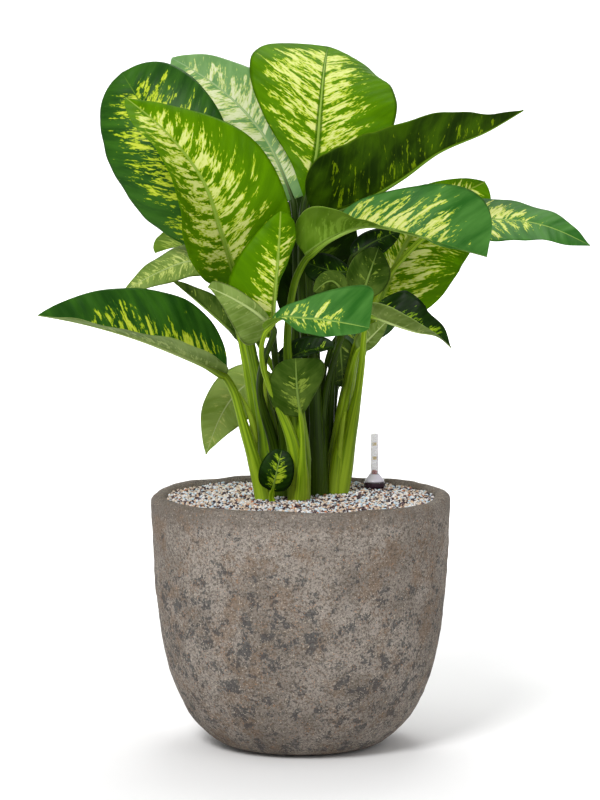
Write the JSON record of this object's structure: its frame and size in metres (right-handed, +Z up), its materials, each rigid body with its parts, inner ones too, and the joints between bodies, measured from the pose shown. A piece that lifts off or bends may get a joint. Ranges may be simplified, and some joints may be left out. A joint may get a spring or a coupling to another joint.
{
  "type": "potted dieffenbachia",
  "caption": "Variegated dieffenbachia house plant with broad patterned leaves on clustered stalks, in a rounded rough clay planter with granules and a water level gauge.",
  "frame": {"origin": "centre of the planter's underside, on the floor", "axes": "+Z up; -Y is the plant's front, +X is to the right seen from the front"},
  "size_m": [0.6399, 0.5015, 0.8197],
  "materials": {
    "clay": "rough, mottled",
    "soil": "matt",
    "granules": "matt",
    "cane": "satin",
    "leaf_dark": "satin",
    "leaf_lime": "satin",
    "leaf_blue_green": "satin",
    "leaf_pale": "satin",
    "gauge_clear": "clear",
    "gauge_collar": "gloss",
    "gauge_float": "satin",
    "gauge_tip": "gloss"
  },
  "bodies": {
    "pot_and_plant": {"planter": "clay", "soil": "soil", "granules": "granules", "cane_left": "cane", "cane_front": "cane", "cane_mid": "cane", "cane_centre": "cane", "cane_right": "cane", "cane_back_left": "cane", "cane_back_right": "cane", "cane_inner": "cane", "leaf_far_left": "leaf_dark", "leaf_front_left": "leaf_lime", "leaf_back_left": "leaf_pale", "leaf_top_centre": "leaf_lime", "leaf_right_high": "leaf_dark", "leaf_right_mid": "leaf_blue_green", "leaf_right_far": "leaf_blue_green", "leaf_right_back": "leaf_lime", "leaf_left_low": "leaf_dark", "leaf_left_small": "leaf_pale", "leaf_left_inner": "leaf_dark", "leaf_centre_curl": "leaf_lime", "leaf_front_fold": "leaf_blue_green", "leaf_fold_left": "leaf_pale", "leaf_right_low": "leaf_dark", "leaf_low_back_left": "leaf_pale", "leaf_heart": "leaf_pale", "leaf_dark_small": "leaf_dark", "leaf_base": "leaf_dark", "leaf_hanging": "leaf_dark", "leaf_right_under": "leaf_pale", "leaf_inner_right": "leaf_pale", "leaf_inner_mid": "leaf_dark", "leaf_inner_pale": "leaf_pale", "leaf_inner_dark": "leaf_dark", "leaf_rear_left": "leaf_lime", "leaf_rear_top": "leaf_dark", "leaf_rear_right": "leaf_dark", "gauge_well": "gauge_clear", "gauge_collar": "gauge_collar", "gauge_cone": "gauge_clear", "gauge_tube": "gauge_clear"},
    "float": {"gauge_float": "gauge_float", "gauge_tip": "gauge_tip"}
  },
  "joints": [
    {"name": "level_float", "type": "slide", "parent": "pot_and_plant", "child": "float", "axis": [0, 0, 1], "range_m": [0, 0.036]}
  ]
}
